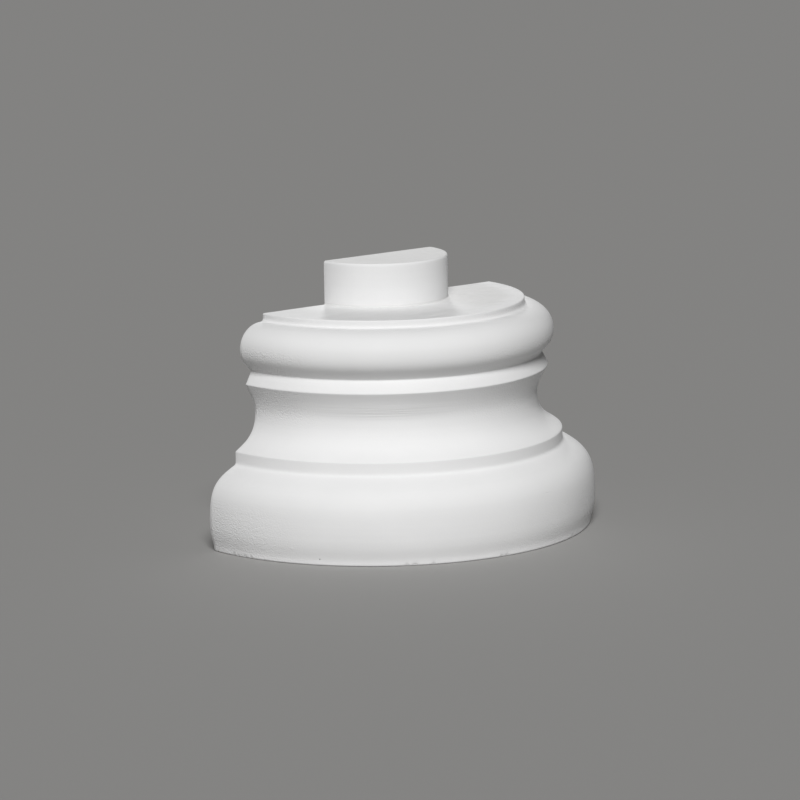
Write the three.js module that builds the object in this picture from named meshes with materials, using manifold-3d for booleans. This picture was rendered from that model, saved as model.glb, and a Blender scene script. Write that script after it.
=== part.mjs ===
// Half-round column base: one casting with an Attic profile, cut flat behind to stand against a wall.
// Millimetres, +Z up. The underside lies on Z = 0, the flat back faces +Y and the round front faces -Y.
// The origin is the middle of the underside's bounding rectangle, half the depth in front of the back.
import * as THREE from "three";
import { mergeVertices } from "three/addons/utils/BufferGeometryUtils.js";
import Module from "manifold-3d";

// The spigot fits inside a hollow half shaft, and the shaft's end stands on the ledge around it
const spigotRadius = 58;
const spigotHeight = 36.5;
const seatLedge = 64;

// Heights of the mouldings, from the underside up
const lowerTorusHeight = 69;
const lowerFilletHeight = 10.5;
const scotiaHeight = 54;
const bandHeight = 10.5;
const upperTorusHeight = 39.9;
const seatFilletHeight = 6.6;

// Levels within a moulding, each above that moulding's own lower edge
const lowerTorusWidestLevel = 25.2;
const scotiaThroatLevel = 30.6;
const upperTorusWidestLevel = 18.5;

// How far each moulding stands out past the rim of the seat
const footProjection = 54.4;
const lowerTorusProjection = 58;
const lowerFilletProjection = 30.8;
const scotiaThroatProjection = 9.8;
const bandRimProjection = 19;
const bandTopProjection = 13.3;
const upperTorusProjection = 24;

// Small roundings and coves
const footEdgeRound = 1.5;
const seatFilletCove = 2.2;
const seatEdgeRound = 1;
const spigotFootCove = 0.8;
const spigotEdgeRound = 2;

// Facets of the half turn, of a moulding's curve and of a small rounding
const halfTurnFacets = 48;
const curveFacets = 8;
const roundingFacets = 3;

// Sizes that follow from the ones above
const seatRadius = spigotRadius + seatLedge;
const lowerTorusRadius = seatRadius + lowerTorusProjection;
const lowerFilletRadius = seatRadius + lowerFilletProjection;
const scotiaBottom = lowerTorusHeight + lowerFilletHeight;
const bandBottom = scotiaBottom + scotiaHeight;
const upperTorusBottom = bandBottom + bandHeight;
const seatFilletBottom = upperTorusBottom + upperTorusHeight;
const seatHeight = seatFilletBottom + seatFilletHeight;
const totalHeight = seatHeight + spigotHeight;

// Handles of a quarter of a circle or ellipse, which leaves or arrives level, or upright
const level = new THREE.Vector2(0.552, 0);
const upright = new THREE.Vector2(0, 0.552);

// A rounding takes at most a third of the wall that it sits on
function roundingOn(wall, rounding) {
  return Math.min(rounding, wall / 3);
}

// The turned outline as points of radius and height, from the underside's middle round to the top's middle
class Outline {
  constructor() {
    this.points = [new THREE.Vector2(0, 0)];
  }

  lineTo(radius, height) {
    this.points.push(new THREE.Vector2(radius, height));
  }

  // A smooth stretch. Its handles are shares of its own width and height, one at its start, one at its end.
  curveTo(radius, height, leaving, arriving, facets) {
    const start = this.points.at(-1);
    const end = new THREE.Vector2(radius, height);
    const span = end.clone().sub(start);
    const startHandle = span.clone().multiply(leaving).add(start);
    const endHandle = end.clone().sub(span.clone().multiply(arriving));
    const curve = new THREE.CubicBezierCurve(start, startHandle, endHandle, end);
    this.points.push(...curve.getPoints(facets).slice(1));
  }
}

// The foot, the heavy lower torus with its long sloping shoulder, and the upright fillet above it
function addLowerTorus(outline) {
  const footRadius = seatRadius + footProjection;
  const edge = roundingOn(lowerTorusWidestLevel, footEdgeRound);
  const leavingFoot = new THREE.Vector2(0.02, 0.28);
  const arrivingWidest = new THREE.Vector2(0, 0.6);
  const leavingWidest = new THREE.Vector2(0, 0.66);
  const arrivingSloped = new THREE.Vector2(0.76, 0.21);
  outline.lineTo(footRadius - edge, 0);
  outline.curveTo(footRadius, edge, level, upright, roundingFacets);
  outline.curveTo(lowerTorusRadius, lowerTorusWidestLevel, leavingFoot, arrivingWidest, curveFacets);
  outline.curveTo(lowerFilletRadius, lowerTorusHeight, leavingWidest, arrivingSloped, 2 * curveFacets);
  outline.lineTo(lowerFilletRadius, scotiaBottom);
}

// The scotia hollows in to its throat and out again to the band's rim, and the band slopes back in
function addScotiaAndBand(outline) {
  const leavingFillet = new THREE.Vector2(0.31, 0.165);
  const throatBelow = new THREE.Vector2(0, 0.69);
  const throatAbove = new THREE.Vector2(0, 0.34);
  const arrivingRim = new THREE.Vector2(0.39, 0.27);
  const throatRadius = seatRadius + scotiaThroatProjection;
  const throatHeight = scotiaBottom + scotiaThroatLevel;
  outline.curveTo(throatRadius, throatHeight, leavingFillet, throatBelow, curveFacets);
  outline.curveTo(seatRadius + bandRimProjection, bandBottom, throatAbove, arrivingRim, curveFacets);
  outline.lineTo(seatRadius + bandTopProjection, upperTorusBottom);
}

// The upper torus starts steeply from the band and ends in a cove at the foot of the seat's fillet
function addUpperTorus(outline) {
  const leavingBand = new THREE.Vector2(0.36, 0.35);
  const fullAtSide = new THREE.Vector2(0, 0.65);
  const fullAtTop = new THREE.Vector2(0.48, 0.01);
  const cove = roundingOn(seatFilletHeight, seatFilletCove);
  const edge = roundingOn(seatFilletHeight, seatEdgeRound);
  const widest = upperTorusBottom + upperTorusWidestLevel;
  outline.curveTo(seatRadius + upperTorusProjection, widest, leavingBand, upright, curveFacets);
  outline.curveTo(seatRadius + cove, seatFilletBottom, fullAtSide, fullAtTop, curveFacets);
  outline.curveTo(seatRadius, seatFilletBottom + cove, level, upright, roundingFacets);
  outline.lineTo(seatRadius, seatHeight - edge);
  outline.curveTo(seatRadius - edge, seatHeight, upright, level, roundingFacets);
}

// The level ledge that the shaft stands on, and the spigot inside it
function addSpigot(outline) {
  const cove = Math.min(roundingOn(spigotHeight, spigotFootCove), roundingOn(seatLedge, spigotFootCove));
  const edge = Math.min(roundingOn(spigotHeight, spigotEdgeRound), roundingOn(spigotRadius, spigotEdgeRound));
  outline.lineTo(spigotRadius + cove, seatHeight);
  outline.curveTo(spigotRadius, seatHeight + cove, level, upright, roundingFacets);
  outline.lineTo(spigotRadius, totalHeight - edge);
  outline.curveTo(spigotRadius - edge, totalHeight, upright, level, roundingFacets);
  outline.lineTo(0, totalHeight);
}

// A lathe turns about its own Y axis, so the full round base is stood up along Z
function turnedBase() {
  const outline = new Outline();
  addLowerTorus(outline);
  addScotiaAndBand(outline);
  addUpperTorus(outline);
  addSpigot(outline);
  const turned = new THREE.LatheGeometry(outline.points, 2 * halfTurnFacets);
  return turned.rotateX(Math.PI / 2);
}

const wasm = await Module();
wasm.setup();

// A closed mesh with its shared vertices merged, as a solid
function solidOf(geometry) {
  const bare = geometry.clone();
  bare.deleteAttribute("normal");
  bare.deleteAttribute("uv");
  const merged = mergeVertices(bare);
  const vertProperties = new Float32Array(merged.attributes.position.array);
  const triVerts = new Uint32Array(merged.index.array);
  return new wasm.Manifold(new wasm.Mesh({ numProp: 3, vertProperties, triVerts }));
}

function geometryOf(solid) {
  const { vertProperties, triVerts } = solid.getMesh();
  const geometry = new THREE.BufferGeometry();
  geometry.setAttribute("position", new THREE.BufferAttribute(vertProperties, 3));
  geometry.setIndex(new THREE.BufferAttribute(triVerts, 1));
  geometry.computeVertexNormals();
  return geometry;
}

// The block of everything behind the wall plane, a little larger than the half that it takes away
function behindTheWall() {
  const margin = 10;
  const side = 2 * (lowerTorusRadius + margin);
  const block = new THREE.BoxGeometry(side, side, totalHeight + 2 * margin);
  return block.translate(0, side / 2, totalHeight / 2);
}

const whiteCasting = new THREE.MeshStandardMaterial({ color: 0xf2f2f0, roughness: 0.6, metalness: 0 });
const halfRound = solidOf(turnedBase()).subtract(solidOf(behindTheWall()));
const halfColumnBase = new THREE.Mesh(geometryOf(halfRound), whiteCasting);
halfColumnBase.name = "half_column_base";
halfColumnBase.position.y = lowerTorusRadius / 2;

const model = new THREE.Group();
model.add(halfColumnBase);

export default model;
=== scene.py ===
import math

import bmesh
import bpy
import numpy as np
from mathutils import Matrix, Vector


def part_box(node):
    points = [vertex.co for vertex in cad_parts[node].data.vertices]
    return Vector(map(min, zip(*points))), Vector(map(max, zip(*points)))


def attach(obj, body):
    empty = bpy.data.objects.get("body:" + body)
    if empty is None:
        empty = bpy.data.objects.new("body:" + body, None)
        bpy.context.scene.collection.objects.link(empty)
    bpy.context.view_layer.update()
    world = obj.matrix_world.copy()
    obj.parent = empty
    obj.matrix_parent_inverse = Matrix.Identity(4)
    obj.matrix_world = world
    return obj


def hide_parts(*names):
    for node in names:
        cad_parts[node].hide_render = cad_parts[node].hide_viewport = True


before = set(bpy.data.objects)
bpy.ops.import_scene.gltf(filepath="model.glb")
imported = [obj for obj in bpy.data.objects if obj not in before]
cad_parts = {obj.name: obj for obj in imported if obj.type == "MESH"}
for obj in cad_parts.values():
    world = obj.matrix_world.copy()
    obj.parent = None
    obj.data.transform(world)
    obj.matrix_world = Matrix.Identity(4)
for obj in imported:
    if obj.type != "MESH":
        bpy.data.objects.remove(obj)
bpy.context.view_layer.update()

# The base: its one CAD node, its body, and a millimetre in metres
NODE = "half_column_base"
BODY = "root"
MM = 0.001

# The spigot and the ledge around it, in millimetres
SPIGOT_RADIUS = 58
SPIGOT_HEIGHT = 36.5
SEAT_LEDGE = 64

# Heights of the mouldings from the underside up, in millimetres
LOWER_TORUS_HEIGHT = 69
LOWER_FILLET_HEIGHT = 10.5
SCOTIA_HEIGHT = 54
BAND_HEIGHT = 10.5
UPPER_TORUS_HEIGHT = 39.9
SEAT_FILLET_HEIGHT = 6.6

# Levels within a moulding, each above that moulding's own lower edge
LOWER_TORUS_WIDEST_LEVEL = 25.2
SCOTIA_THROAT_LEVEL = 30.6
UPPER_TORUS_WIDEST_LEVEL = 18.5

# How far each moulding stands out past the rim of the seat
FOOT_PROJECTION = 54.4
LOWER_TORUS_PROJECTION = 58
LOWER_FILLET_PROJECTION = 30.8
SCOTIA_THROAT_PROJECTION = 9.8
BAND_RIM_PROJECTION = 19
BAND_TOP_PROJECTION = 13.3
UPPER_TORUS_PROJECTION = 24

# Small roundings and coves, and how far the primer softens every corner
FOOT_EDGE_ROUND = 1.5
FILLET_FOOT_COVE = 2
SEAT_FILLET_COVE = 2.2
SEAT_EDGE_ROUND = 1
SPIGOT_FOOT_COVE = 0.8
SPIGOT_EDGE_ROUND = 2
BACK_EDGE_ROUND = 0.6
PRIMER_SOFTENING = 0.45

# How far the lower torus's shoulder rises for each millimetre that it runs in to the fillet
SHOULDER_SLOPE = 0.44

# The outline starts and ends a little way in on the flat underside and on the spigot's flat top
FLAT_MARGIN = 6

SEAT_RADIUS = SPIGOT_RADIUS + SEAT_LEDGE
SCOTIA_BOTTOM = LOWER_TORUS_HEIGHT + LOWER_FILLET_HEIGHT
BAND_BOTTOM = SCOTIA_BOTTOM + SCOTIA_HEIGHT
UPPER_TORUS_BOTTOM = BAND_BOTTOM + BAND_HEIGHT
SEAT_FILLET_BOTTOM = UPPER_TORUS_BOTTOM + UPPER_TORUS_HEIGHT
SEAT_HEIGHT = SEAT_FILLET_BOTTOM + SEAT_FILLET_HEIGHT
TOTAL_HEIGHT = SEAT_HEIGHT + SPIGOT_HEIGHT

# The column's axis stands in the plane of the flat back, whose place the CAD node gives
BACK_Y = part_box(NODE)[1][1] / MM

# Handles of the curves, as shares of a stretch's own width and rise, at its start or at its end.
# The first two are those of a quarter circle or ellipse.
LEVEL = (0.552, 0)
UPRIGHT = (0, 0.552)
LEAVING_FOOT = (0.02, 0.28)
ARRIVING_WIDEST = (0, 0.6)
LEAVING_WIDEST = (0, 0.66)
ARRIVING_SLOPED = (0.76, 0.21)
LEAVING_SLOPED = (0.552, 0.169)
LEAVING_FILLET = (0.31, 0.165)
THROAT_BELOW = (0, 0.69)
THROAT_ABOVE = (0, 0.34)
ARRIVING_RIM = (0.39, 0.27)
LEAVING_BAND = (0.36, 0.35)
FULL_AT_SIDE = (0, 0.65)
FULL_AT_TOP = (0.48, 0.01)

# Points on a moulding's curve and on a small rounding
CURVE_POINTS = 60
ROUNDING_POINTS = 12


class Outline:
    """The turned outline as points of radius and height in millimetres, from the underside up."""

    def __init__(self, radius, height):
        self.points = [np.array([radius, height], float)]

    def line_to(self, radius, height):
        self.points.append(np.array([radius, height], float))

    def curve_to(self, radius, height, leaving, arriving, count=CURVE_POINTS):
        start = self.points[-1]
        end = np.array([radius, height], float)
        first = start + (end - start) * leaving
        second = end - (end - start) * arriving
        for t in np.linspace(0, 1, count)[1:]:
            near = (1 - t) ** 3 * start + 3 * (1 - t) ** 2 * t * first
            far = 3 * (1 - t) * t ** 2 * second + t ** 3 * end
            self.points.append(near + far)


def turned_outline():
    """The same mouldings as the CAD solid, with smooth curves and primer in the lower fillet's corner."""
    foot_radius = SEAT_RADIUS + FOOT_PROJECTION
    widest_radius = SEAT_RADIUS + LOWER_TORUS_PROJECTION
    fillet_radius = SEAT_RADIUS + LOWER_FILLET_PROJECTION
    cove_height = LOWER_TORUS_HEIGHT - SHOULDER_SLOPE * FILLET_FOOT_COVE
    cove_top = LOWER_TORUS_HEIGHT + FILLET_FOOT_COVE
    throat = SCOTIA_BOTTOM + SCOTIA_THROAT_LEVEL
    widest = UPPER_TORUS_BOTTOM + UPPER_TORUS_WIDEST_LEVEL
    outline = Outline(foot_radius - FLAT_MARGIN, 0)
    outline.line_to(foot_radius - FOOT_EDGE_ROUND, 0)
    outline.curve_to(foot_radius, FOOT_EDGE_ROUND, LEVEL, UPRIGHT, ROUNDING_POINTS)
    outline.curve_to(widest_radius, LOWER_TORUS_WIDEST_LEVEL, LEAVING_FOOT, ARRIVING_WIDEST)
    outline.curve_to(fillet_radius + FILLET_FOOT_COVE, cove_height, LEAVING_WIDEST, ARRIVING_SLOPED)
    outline.curve_to(fillet_radius, cove_top, LEAVING_SLOPED, UPRIGHT, ROUNDING_POINTS)
    outline.line_to(fillet_radius, SCOTIA_BOTTOM)
    outline.curve_to(SEAT_RADIUS + SCOTIA_THROAT_PROJECTION, throat, LEAVING_FILLET, THROAT_BELOW)
    outline.curve_to(SEAT_RADIUS + BAND_RIM_PROJECTION, BAND_BOTTOM, THROAT_ABOVE, ARRIVING_RIM)
    outline.line_to(SEAT_RADIUS + BAND_TOP_PROJECTION, UPPER_TORUS_BOTTOM)
    outline.curve_to(SEAT_RADIUS + UPPER_TORUS_PROJECTION, widest, LEAVING_BAND, UPRIGHT)
    outline.curve_to(SEAT_RADIUS + SEAT_FILLET_COVE, SEAT_FILLET_BOTTOM, FULL_AT_SIDE, FULL_AT_TOP)
    outline.curve_to(SEAT_RADIUS, SEAT_FILLET_BOTTOM + SEAT_FILLET_COVE, LEVEL, UPRIGHT, ROUNDING_POINTS)
    outline.line_to(SEAT_RADIUS, SEAT_HEIGHT - SEAT_EDGE_ROUND)
    outline.curve_to(SEAT_RADIUS - SEAT_EDGE_ROUND, SEAT_HEIGHT, UPRIGHT, LEVEL, ROUNDING_POINTS)
    outline.line_to(SPIGOT_RADIUS + SPIGOT_FOOT_COVE, SEAT_HEIGHT)
    outline.curve_to(SPIGOT_RADIUS, SEAT_HEIGHT + SPIGOT_FOOT_COVE, LEVEL, UPRIGHT, ROUNDING_POINTS)
    outline.line_to(SPIGOT_RADIUS, TOTAL_HEIGHT - SPIGOT_EDGE_ROUND)
    outline.curve_to(SPIGOT_RADIUS - SPIGOT_EDGE_ROUND, TOTAL_HEIGHT, UPRIGHT, LEVEL, ROUNDING_POINTS)
    outline.line_to(SPIGOT_RADIUS - FLAT_MARGIN, TOTAL_HEIGHT)
    return np.array(outline.points)


def run_along(points):
    """How far along a line of points each of them lies."""
    steps = np.hypot(*np.diff(points, axis=0).T)
    return np.concatenate([[0], np.cumsum(steps)])


def softened(points, fine_step=0.1, widths_of_bell=4):
    """The outline as even fine steps, with its corners rounded as a coat of primer rounds them."""
    run = run_along(points)
    even = np.linspace(0, run[-1], int(run[-1] / fine_step))
    line = np.column_stack([np.interp(even, run, points[:, axis]) for axis in (0, 1)])
    reach = int(widths_of_bell * PRIMER_SOFTENING / fine_step)
    weights = np.exp(-0.5 * (np.arange(-reach, reach + 1) * fine_step / PRIMER_SOFTENING) ** 2)
    weights /= weights.sum()
    smooth = line.copy()
    for axis in (0, 1):
        smooth[reach:-reach, axis] = np.convolve(line[:, axis], weights, "valid")
    return smooth


def spaced_by_bend(points, widest_step=1.25, bend_per_step=0.2, least_bend=1e-6, evened_over=9):
    """Fewer points, a short step apart where the outline bends sharply and a wide one where it runs on."""
    run = run_along(points)
    heading = np.unwrap(np.arctan2(*np.gradient(points, axis=0).T[::-1]))
    bend = np.abs(np.gradient(heading, run))
    wanted = 1 / np.minimum(widest_step, bend_per_step / np.maximum(bend, least_bend))
    crowd = np.convolve(wanted, np.ones(evened_over) / evened_over, "same")
    total = np.concatenate([[0], np.cumsum((crowd[1:] + crowd[:-1]) / 2 * np.diff(run))])
    picked = np.interp(np.linspace(0, total[-1], int(total[-1]) + 1), total, run)
    return np.column_stack([np.interp(picked, run, points[:, axis]) for axis in (0, 1)])


# Small chips along the foot: degrees round the front from the right end, and half their width in millimetres
EDGE_CHIPS = ((178.6, 1.2), (172.0, 2.4), (170.4, 1.6), (168.0, 3.0), (166.0, 2.0), (122.5, 2.6),
              (120.3, 3.4), (115.4, 1.8), (95.6, 2.2), (93.9, 3.0), (66.0, 2.5), (34.0, 3.0), (12.0, 2.2))
CHIP_DEPTH = 0.85
CHIP_REACH = 1.4
CHIP_HOLLOW = 0.6
CHIP_ROWS = 5

# Relief that runs all over the turned surface: depths, and the shortest and longest waves, in millimetres
TURNING_LINE_DEPTH = 0.028
TURNING_LINE_LENGTHS = (2.5, 9)
WAVE_DEPTH = 0.09
WAVE_LENGTHS = (45, 110)

# Rows of points round the front and over its two ends, the first and last a small angle off the back,
# and the least distance between two rows at the widest place
ANGLE_ROWS = 176
END_ANGLE = 0.02
BACK_ROUND_ROWS = 4
LEAST_APART = 0.15


def turn_angles():
    """Angles round the front from the right end, closer together where a small mark needs it."""
    angles = [np.linspace(END_ANGLE, math.pi - END_ANGLE, ANGLE_ROWS)]
    widest = SEAT_RADIUS + LOWER_TORUS_PROJECTION
    for degrees, half_width in EDGE_CHIPS:
        angles.append(math.radians(degrees) + np.linspace(-1, 1, CHIP_ROWS) * half_width / widest)
    every = np.sort(np.concatenate(angles))
    every = every[(every >= END_ANGLE) & (every <= math.pi - END_ANGLE)]
    apart = np.concatenate([[True], np.diff(every) > LEAST_APART / widest])
    return every[apart]


def slow_waves(across, along, lengths, seed, count=28):
    """A smooth random field between about -1 and 1, from waves of the given range of lengths."""
    draw = np.random.default_rng(seed)
    total = np.zeros(np.broadcast(across, along).shape)
    for _ in range(count):
        heading = draw.uniform(0, math.pi)
        pitch = 2 * math.pi / draw.uniform(*lengths)
        phase = draw.uniform(0, 2 * math.pi)
        total += np.sin(pitch * (across * math.cos(heading) + along * math.sin(heading)) + phase)
    return total / math.sqrt(count)


def dimple(distance, radius):
    return np.exp(-(distance / radius) ** 2)


def sunk_depth(angle, radius, run):
    """How far the real surface lies inside the ideal one. Every array has a row for each angle."""
    arc = angle * radius
    lines = slow_waves(run, 0 * run, TURNING_LINE_LENGTHS, seed=11)
    waves = slow_waves(arc, run, WAVE_LENGTHS, seed=5)
    depth = TURNING_LINE_DEPTH * (1 + lines) / 2 + WAVE_DEPTH * (1 + waves) / 2
    at_foot = dimple(run - FLAT_MARGIN, CHIP_REACH)
    for degrees, half_width in EDGE_CHIPS:
        beside = (angle - math.radians(degrees)) * radius
        depth = depth + CHIP_DEPTH * at_foot * dimple(beside, half_width * CHIP_HOLLOW)
    from_flats = np.minimum(run, run.max() - run) - FLAT_MARGIN / 2
    return depth * np.clip(from_flats / (FLAT_MARGIN / 2), 0, 1)


def outward(points):
    """The outline's outward normals, in radius and height."""
    along = np.gradient(points, axis=0)
    normals = np.column_stack([along[:, 1], -along[:, 0]])
    return normals / np.linalg.norm(normals, axis=1)[:, None]


def surface_rows(points):
    """Rows of points round the front, right end first, with each end rounded over into the back."""
    run = run_along(points)
    normals = outward(points)
    radius, height = points.T
    rows = []
    turn = turn_angles()
    depth = sunk_depth(turn[:, None], radius[None], run[None])
    for angle, sunk in zip(turn, depth):
        around = radius - sunk * normals[:, 0]
        up = np.clip(height - sunk * normals[:, 1], 0, TOTAL_HEIGHT)
        rows.append(np.column_stack([around * math.cos(angle), BACK_Y - around * math.sin(angle), up]))
    for side, sunk in ((1, depth[0]), (-1, depth[-1])):
        ends = []
        for step in range(BACK_ROUND_ROWS + 1):
            bend = math.pi / 2 * step / BACK_ROUND_ROWS
            inset = sunk + BACK_EDGE_ROUND * (1 - math.cos(bend))
            from_back = BACK_EDGE_ROUND * (1 - math.sin(bend))
            across = np.sqrt(radius ** 2 - from_back ** 2) - inset * normals[:, 0]
            up = np.clip(height - inset * normals[:, 1], 0, TOTAL_HEIGHT)
            ends.append(np.column_stack([side * across, np.full_like(up, BACK_Y - from_back), up]))
        rows = ends[::-1] + rows if side > 0 else rows + ends
    return np.array(rows)


def casting_faces(row_count, point_count):
    """Quads all over the turned surface and its rounded ends, and the three flats that close it."""
    def at(row, point):
        return row % row_count * point_count + point % point_count

    curved = []
    for row in range(row_count - 1):
        for point in range(point_count - 1):
            curved.append((at(row, point), at(row, point + 1), at(row + 1, point + 1), at(row + 1, point)))
    for row in range(BACK_ROUND_ROWS):
        for point in (0, -1):
            right = (at(row, point), at(row + 1, point))
            left = (at(-2 - row, point), at(-1 - row, point))
            curved.append(right + left)
    front_rows = range(BACK_ROUND_ROWS, row_count - BACK_ROUND_ROWS)
    underside = tuple(at(row, 0) for row in front_rows)
    top = tuple(at(row, -1) for row in front_rows)
    right_edge = [at(0, point) for point in range(point_count)]
    left_edge = [at(-1, point) for point in range(point_count)]
    back = tuple(right_edge + left_edge[::-1])
    return curved, [underside, top, back]


def make_casting():
    rows = surface_rows(spaced_by_bend(softened(turned_outline())))
    curved, flats = casting_faces(*rows.shape[:2])
    mesh = bpy.data.meshes.new("casting")
    mesh.from_pydata((rows.reshape(-1, 3) * MM).tolist(), [], curved + flats)
    shape = bmesh.new()
    shape.from_mesh(mesh)
    bmesh.ops.recalc_face_normals(shape, faces=shape.faces)
    for face in shape.faces:
        face.smooth = len(face.verts) == 4
        if not face.smooth:
            for edge in face.edges:
                edge.smooth = False
    shape.to_mesh(mesh)
    shape.free()
    casting = bpy.data.objects.new("casting", mesh)
    bpy.context.collection.objects.link(casting)
    return casting


class Socket:
    """A value in a material. It takes part in sums as a number does, and each sum adds its Math node."""

    def __init__(self, finish, link):
        self.finish = finish
        self.link = link

    def maths(self, operation, first, second=0.0):
        return self.finish.node("ShaderNodeMath", {"operation": operation}, {0: first, 1: second})

    def __add__(self, other):
        return self.maths("ADD", self, other)

    def __sub__(self, other):
        return self.maths("SUBTRACT", self, other)

    def __rsub__(self, other):
        return self.maths("SUBTRACT", other, self)

    def __mul__(self, other):
        return self.maths("MULTIPLY", self, other)

    def __pow__(self, other):
        return self.maths("POWER", self, other)

    __radd__ = __add__
    __rmul__ = __mul__


class Finish:
    """The nodes of a material or of the world, built one at a time."""

    def __init__(self, owner):
        owner.use_nodes = True
        self.tree = owner.node_tree
        self.tree.nodes.clear()

    def node(self, kind, settings=None, values=None, output=0):
        """Adds a node, its settings first and then its sockets' values or links, and returns an output."""
        made = self.tree.nodes.new(kind)
        for setting, value in (settings or {}).items():
            setattr(made, setting, value)
        for name, value in (values or {}).items():
            if isinstance(value, Socket):
                self.tree.links.new(value.link, made.inputs[name])
            else:
                made.inputs[name].default_value = value
        if isinstance(output, tuple):
            return [Socket(self, made.outputs[each]) for each in output]
        return Socket(self, made.outputs[output])

    def shown_as(self, shader, kind="ShaderNodeOutputMaterial"):
        self.node(kind, None, {"Surface": shader}, output=())

    def blend(self, factor, first, second):
        """One colour turning into another."""
        colours = {"Factor": factor, 6: first, 7: second}
        return self.node("ShaderNodeMix", {"data_type": "RGBA"}, colours, output=2)

    def noise(self, place, scale, detail=2.0, roughness=0.5):
        values = {"Vector": place, "Scale": scale, "Detail": detail, "Roughness": roughness}
        return self.node("ShaderNodeTexNoise", None, values)

    def turned_and_stretched(self, place, degrees, scale):
        turn = (0, 0, math.radians(degrees))
        values = {"Vector": place, "Rotation": turn, "Scale": scale}
        return self.node("ShaderNodeMapping", None, values)

    def rise(self, value, low, high, to_low=0.0, to_high=1.0):
        """A smooth step from one value to another."""
        values = {"Value": value, 1: low, 2: high, 3: to_low, 4: to_high}
        return self.node("ShaderNodeMapRange", {"interpolation_type": "SMOOTHSTEP"}, values)

    def edge(self, place, start, full, to_low=0.0, to_high=1.0):
        """A smooth step along a coordinate, from one place in millimetres to another."""
        return self.rise(place, start * MM, full * MM, to_low, to_high)

    def spot(self, wall, degrees, height, half_width, half_height):
        """A small mark on the wall coordinates, 1 in its middle and 0 outside. Its sizes are millimetres."""
        middle = (math.radians(degrees) * WALL_RADIUS * MM, height * MM)
        scale = (1 / (half_width * MM), 1 / (half_height * MM))
        shift = (-middle[0] * scale[0], -middle[1] * scale[1], 0)
        values = {0: wall, 1: (*scale, 0), 2: shift}
        place = self.node("ShaderNodeVectorMath", {"operation": "MULTIPLY_ADD"}, values)
        away = self.node("ShaderNodeVectorMath", {"operation": "LENGTH"}, {0: place}, output="Value")
        return self.rise(away, 1, 0)

    def nib(self, place, middle, size):
        """A little heap of primer about a point. Its sizes are millimetres."""
        values = {0: place, 1: [each * MM for each in middle]}
        away = self.node("ShaderNodeVectorMath", {"operation": "DISTANCE"}, values, output="Value")
        return self.edge(away, size, 0) * size * NIB_SLOPE


# Colours of the primer, of the painted shade on it and in its pinhole, and of the sanded back
PRIMER_WHITE = (0.85, 0.85, 0.85, 1)
PRIMER_SHADE = (0.815, 0.815, 0.815, 1)
PAINTED_SHADE_GREY = (0.755, 0.753, 0.748, 1)
PINHOLE_PAINTED_SHADE = (0.3, 0.3, 0.3, 1)
SANDED_WHITE = (0.8, 0.795, 0.78, 1)
SANDED_SHADE = (0.735, 0.73, 0.715, 1)

# Heights and depths of the primer's relief, in millimetres
PEEL_HEIGHT = 0.035
DRY_LEFT_HEIGHT = 0.9
DRY_RIGHT_HEIGHT = 0.95
FINE_LINE_HEIGHT = 0.02
SCOTIA_LINE_HEIGHT = 0.9
SANDING_HEIGHT = 3
PIT_DEPTH = 0.12
PINHOLE_DEPTH = 0.6
NIB_SLOPE = 0.3

# How fine each noise is: waves per metre, and for the sanding strokes along each of their own axes
LINE_WAVES = 520
PEEL_WAVES = 600
SPECK_WAVES = 900
PATCH_WAVES = 16
STREAK_WAVES = 60
STROKE_WAVES = (30, 80, 40)
STROKE_HEADING = -32
DRIFT_OF_LINES = 0.002
NOISE_MIDDLE = 0.5

# Pits stand in a few of these cells per metre: which cells, and a pit's rim and floor as shares of a cell
PIT_CELLS = 75
RARE_CELLS = (0.86, 0.9)
PIT_EDGE = (0.05, 0.02)

# Where a field of the finish starts and where it is full, in millimetres
BARE_BACK = (0.4, 0.1)
OFF_BACK = (0.5, 3)
OFF_SPIGOT = (SPIGOT_RADIUS + 2, SPIGOT_RADIUS + 12)
BELOW_FILLET = (LOWER_TORUS_HEIGHT + 0.5, LOWER_TORUS_HEIGHT - 0.5)
ABOVE_FILLET = (SCOTIA_BOTTOM - 0.5, SCOTIA_BOTTOM + 1.5)
SANDED_ACROSS = (-90, 70)
AT_SPIGOT = (SPIGOT_RADIUS + 3, SPIGOT_RADIUS + 1)
NEAR_SEAT = (SEAT_HEIGHT + 2.5, SEAT_HEIGHT + 1)
ON_TOP = (TOTAL_HEIGHT - 0.6, TOTAL_HEIGHT - 0.1)
BESIDE_SPIGOT = (SEAT_RADIUS - 4, SEAT_RADIUS - 27)
RIGHT_OF_MIDDLE = (10, 45)
UP_TO_SEAT = (SEAT_HEIGHT + 9.5, SEAT_HEIGHT + 4.5)

# The same by the turn round the front, in radians from the right end, and by how far up a face looks
DRY_LEFT_TURN = (2.5, 3.0)
DRY_RIGHT_TURN = (1.95, 0.8)
DRY_FACING = (0.35, -0.15)
LEVEL_FACING = (0.97, 0.995)

# Shares of each noise in the tint and in the roughness
PATCH_TINT = 0.6
STREAK_TINT = 0.4
SPECK_TINT = 0.6
TINT_RANGE = (0.3, 0.75)
BARE_RANGE = (0.35, 0.7)
LEAST_SANDING = 0.45
# Share of the painted shade on the spigot's top
TOP_PAINTED_SHADE = 0.85
ROUGHNESS = 0.78
PATCH_ROUGHNESS = 0.12
LINE_ROUGHNESS = 0.1
BARE_ROUGHNESS = 0.1
SHINE = 0.3

# Places on the front: degrees round it from the right end, height, half width and half height, in millimetres
WALL_RADIUS = 178
PINHOLE = (145.4, 5.2, 0.75, 0.75)
SCOTIA_LINES = (128, 118.5, 105, 9.5)

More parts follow.
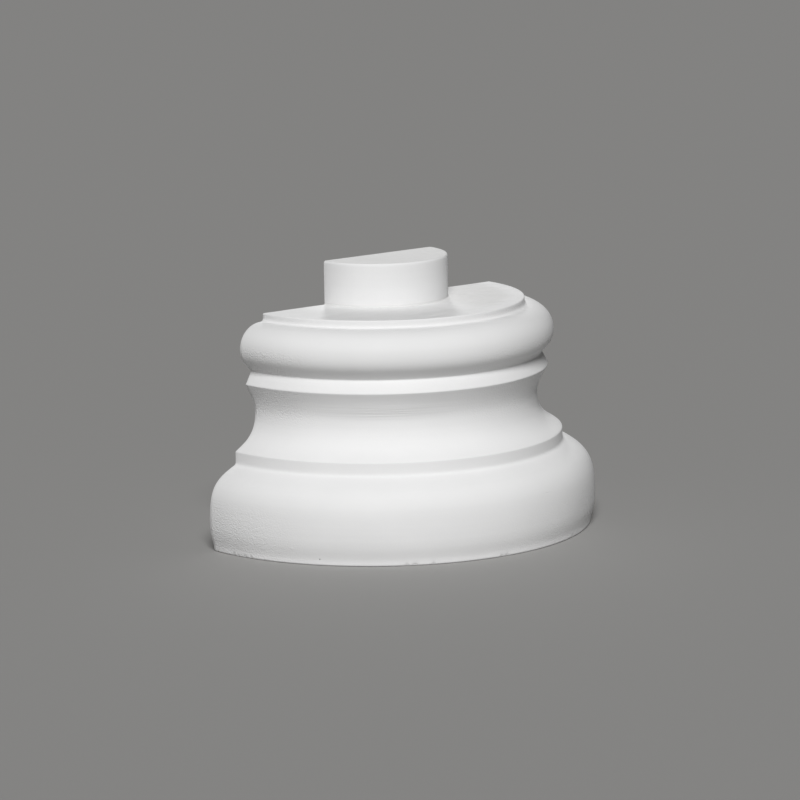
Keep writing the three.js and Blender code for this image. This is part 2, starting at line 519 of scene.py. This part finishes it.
# Small marks, placed in the same way, each with its relief in millimetres
MARKS = (
    (152.9, 13.2, 2.6, 2.2, 0.12),
    (165.4, 123.8, 0.8, 0.8, 0.2),
    (79.8, 45.6, 8.7, 0.5, -0.12),
    (177.6, 26.4, 3.8, 0.5, -0.25),
    (61.4, 36.2, 0.9, 1, 0.6),
    (60.1, 24.5, 0.8, 0.9, 0.5),
    (60.7, 12.9, 0.8, 0.9, 0.6),
    (59.5, 8.7, 0.8, 0.8, 0.5),
    (62.7, 4.8, 1, 0.8, 0.5),
)

# Nibs of primer at the spigot's foot, near its right end: place and size, in millimetres
SPIGOT_FOOT_NIBS = (
    (58.0, 61.0, SEAT_HEIGHT, 1.2),
    (54.5, 58.8, SEAT_HEIGHT, 1.8),
    (43.5, 46.5, SEAT_HEIGHT, 1.6),
)


def dry_stipple(finish, turn, upward, radius, forward, z):
    """How coarse the primer is where it went on dry: on steep faces near both ends, off fillet and back."""
    left = finish.rise(turn, *DRY_LEFT_TURN) * DRY_LEFT_HEIGHT
    right = finish.rise(turn, *DRY_RIGHT_TURN) * DRY_RIGHT_HEIGHT
    steep = finish.rise(upward, *DRY_FACING) * finish.edge(radius, *OFF_SPIGOT)
    off_fillet = finish.edge(z, *BELOW_FILLET) + finish.edge(z, *ABOVE_FILLET)
    return (left + right) * steep * finish.edge(forward, *OFF_BACK) * off_fillet


def scattered_pits(finish, place):
    cells = {"Vector": place, "Scale": PIT_CELLS}
    away, cell = finish.node("ShaderNodeTexVoronoi", None, cells, output=("Distance", "Color"))
    rare = finish.rise(finish.node("ShaderNodeSeparateColor", None, {0: cell}), *RARE_CELLS)
    return finish.rise(away, *PIT_EDGE) * rare


def painted_shade_places(finish, x, z, radius, level, sanded):
    """Painted shade on the spigot's top, in the corner at its foot, and on the seat to the right of it."""
    at_foot = finish.edge(radius, *AT_SPIGOT) * finish.edge(z, *NEAR_SEAT) * (1 - sanded)
    on_top = finish.edge(z, *ON_TOP) * TOP_PAINTED_SHADE
    beside = finish.edge(radius, *BESIDE_SPIGOT) * finish.edge(x, *RIGHT_OF_MIDDLE) * level
    return finish.rise(at_foot + on_top + beside * finish.edge(z, *UP_TO_SEAT), 0, 1)


def primed_casting():
    """Matt white primer: its peel and dry stipple, turning lines, sanding strokes, painted shade and small
    marks.
    """
    material = bpy.data.materials.new("primed_casting")
    finish = Finish(material)
    place = finish.node("ShaderNodeTexCoord", output="Object")
    x, y, z = finish.node("ShaderNodeSeparateXYZ", None, {0: place}, output=("X", "Y", "Z"))
    forward = BACK_Y * MM - y
    radius = (x * x + forward * forward) ** 0.5
    turn = finish.node("ShaderNodeMath", {"operation": "ARCTAN2"}, {0: forward, 1: x})
    ring = finish.node("ShaderNodeCombineXYZ", None, {"X": radius, "Y": turn * DRIFT_OF_LINES, "Z": z})
    wall = finish.node("ShaderNodeCombineXYZ", None, {"X": turn * (WALL_RADIUS * MM), "Y": z, "Z": 0.0})
    facing = finish.node("ShaderNodeNewGeometry", output="Normal")
    upward = finish.node("ShaderNodeSeparateXYZ", None, {0: facing}, output="Z")

    lines = finish.noise(ring, LINE_WAVES, detail=2, roughness=0.6)
    peel = finish.noise(place, PEEL_WAVES, detail=1)
    specks = finish.noise(place, SPECK_WAVES, detail=1)
    patches = finish.noise(place, PATCH_WAVES, detail=3)
    streaks = finish.noise(ring, STREAK_WAVES, detail=2)
    strokes = finish.noise(finish.turned_and_stretched(place, STROKE_HEADING, STROKE_WAVES), 1, detail=3)

    sanded = finish.edge(forward, *BARE_BACK)
    dry = dry_stipple(finish, turn, upward, radius, forward, z)
    level = finish.rise(upward, *LEVEL_FACING)
    sanding = level * finish.edge(x, *SANDED_ACROSS, LEAST_SANDING, 1.0)
    in_scotia = finish.spot(wall, *SCOTIA_LINES) * SCOTIA_LINE_HEIGHT
    pinhole = finish.spot(wall, *PINHOLE)

    height = peel * PEEL_HEIGHT + specks * dry + lines * (in_scotia + FINE_LINE_HEIGHT)
    height = height - scattered_pits(finish, place) * PIT_DEPTH - pinhole * PINHOLE_DEPTH
    height = height + strokes * sanding * SANDING_HEIGHT
    height = height + sum(finish.spot(wall, *mark) * relief for *mark, relief in MARKS)
    height = height + sum(finish.nib(place, middle, size) for *middle, size in SPIGOT_FOOT_NIBS)
    bump = {"Strength": 1.0, "Distance": MM, "Height": height}

    uneven = patches * PATCH_TINT + streaks * STREAK_TINT
    uneven = uneven + (specks - NOISE_MIDDLE) * dry * SPECK_TINT + (strokes - NOISE_MIDDLE) * sanding
    tinted = finish.blend(finish.rise(uneven, *TINT_RANGE), PRIMER_WHITE, PRIMER_SHADE)
    # The pinhole's dark grey is painted shade in the hole
    primer = finish.blend(pinhole, tinted, PINHOLE_PAINTED_SHADE)
    # Painted shade: grey on the spigot's top, in the corner at its foot and on the seat to the right of it
    primer = finish.blend(painted_shade_places(finish, x, z, radius, level, sanded), primer, PAINTED_SHADE_GREY)
    mottled = finish.rise((patches + specks) * 0.5, *BARE_RANGE)
    bare = finish.blend(mottled, SANDED_WHITE, SANDED_SHADE)

    roughness = ROUGHNESS + (patches - NOISE_MIDDLE) * PATCH_ROUGHNESS
    roughness = roughness + (lines - NOISE_MIDDLE) * LINE_ROUGHNESS + sanded * BARE_ROUGHNESS
    surface = {
        "Base Color": finish.blend(sanded, primer, bare),
        "Roughness": roughness,
        "Specular IOR Level": SHINE,
        "Normal": finish.node("ShaderNodeBump", None, bump),
    }
    finish.shown_as(finish.node("ShaderNodeBsdfPrincipled", None, surface))
    return material


# The studio: a wide pale floor, a soft key light above the camera, a small lamp low behind the base whose
# light the spigot keeps off the seat in front of it, and a trace of even light. The lamp lights only the
# base, and beyond the floor the backdrop is seen as grey as the floor.
FLOOR_GREY = (0.345, 0.341, 0.334, 1)
FLOOR_ROUGHNESS = 0.9
FLOOR_SIZE = 60
KEY_AZIMUTH = -37
KEY_ELEVATION = 42.3
KEY_WIDTH = 22
KEY_STRENGTH = 2.93
BACK_LAMP_PLACE = Vector((0.805, 1.161, 0.71))
BACK_LAMP_AIM = Vector((-0.058, 0.09, 0.19))
BACK_LAMP_SIZE = 0.2
BACK_LAMP_WATTS = 6.6
EVEN_LIGHT = 0.025
BACKDROP_BRIGHTNESS = 0.235


def pale_floor():
    material = bpy.data.materials.new("pale_floor")
    finish = Finish(material)
    surface = {"Base Color": FLOOR_GREY, "Roughness": FLOOR_ROUGHNESS}
    finish.shown_as(finish.node("ShaderNodeBsdfPrincipled", None, surface))
    return material


def make_floor():
    mesh = bpy.data.meshes.new("floor")
    half = FLOOR_SIZE / 2
    corners = [(-half, -half, 0), (half, -half, 0), (half, half, 0), (-half, half, 0)]
    mesh.from_pydata(corners, [], [(0, 1, 2, 3)])
    floor = bpy.data.objects.new("floor", mesh)
    bpy.context.collection.objects.link(floor)
    mesh.materials.append(pale_floor())


def towards(azimuth, elevation):
    """The direction from the base to a place seen at this azimuth and elevation, in degrees."""
    a, e = math.radians(azimuth), math.radians(elevation)
    return Vector((math.sin(a) * math.cos(e), -math.cos(a) * math.cos(e), math.sin(e)))


def add_lamp(name, kind, facing):
    """A lamp that shines from the given direction towards the base."""
    lamp = bpy.data.lights.new(name, kind)
    light = bpy.data.objects.new(name, lamp)
    light.rotation_mode = "QUATERNION"
    light.rotation_quaternion = facing.to_track_quat("Z", "Y")
    bpy.context.collection.objects.link(light)
    return light, lamp


def make_lights(casting):
    _, key = add_lamp("key", "SUN", towards(KEY_AZIMUTH, KEY_ELEVATION))
    key.angle = math.radians(KEY_WIDTH)
    key.energy = KEY_STRENGTH
    light, back = add_lamp("back", "AREA", BACK_LAMP_PLACE - BACK_LAMP_AIM)
    light.location = BACK_LAMP_PLACE
    light.visible_camera = False
    back.shape = "DISK"
    back.size = BACK_LAMP_SIZE
    back.energy = BACK_LAMP_WATTS
    lit = bpy.data.collections.new("lit_from_behind")
    lit.objects.link(casting)
    light.light_linking.receiver_collection = lit


def make_backdrop():
    world = bpy.data.worlds.new("even_light")
    finish = Finish(world)
    seen = finish.node("ShaderNodeLightPath", output="Is Camera Ray")
    strength = EVEN_LIGHT + seen * (BACKDROP_BRIGHTNESS - EVEN_LIGHT)
    sky = {"Color": (1, 1, 1, 1), "Strength": strength}
    finish.shown_as(finish.node("ShaderNodeBackground", None, sky), "ShaderNodeOutputWorld")
    bpy.context.scene.world = world


# The camera as the photograph was taken: from the left of the front, a little above the top
CAMERA_AZIMUTH = -38.87
CAMERA_DISTANCE = 3.126
CAMERA_HEIGHT = 0.688
CAMERA_PITCH = 10.61
CAMERA_PAN = 0.305
CAMERA_ROLL = -0.78
CAMERA_LENS = 170.4
SENSOR_WIDTH = 36


def make_camera():
    azimuth = math.radians(CAMERA_AZIMUTH)
    lens = bpy.data.cameras.new("photograph")
    lens.sensor_width = SENSOR_WIDTH
    lens.lens = CAMERA_LENS
    lens.clip_end = 2 * FLOOR_SIZE
    camera = bpy.data.objects.new("photograph", lens)
    spot = Vector((math.sin(azimuth), -math.cos(azimuth), 0)) * CAMERA_DISTANCE
    spot += Vector((0, BACK_Y * MM, CAMERA_HEIGHT))
    heading = Matrix.Rotation(azimuth - math.radians(CAMERA_PAN), 4, "Z")
    nod = Matrix.Rotation(math.radians(90 - CAMERA_PITCH), 4, "X")
    tilt = Matrix.Rotation(math.radians(CAMERA_ROLL), 4, "Z")
    camera.matrix_world = Matrix.Translation(spot) @ heading @ nod @ tilt
    bpy.context.collection.objects.link(camera)
    bpy.context.scene.camera = camera


casting = make_casting()
casting.data.materials.append(primed_casting())
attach(casting, BODY)
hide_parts(NODE)

make_floor()
make_lights(casting)
make_backdrop()
make_camera()
bpy.context.scene.view_settings.view_transform = "Standard"
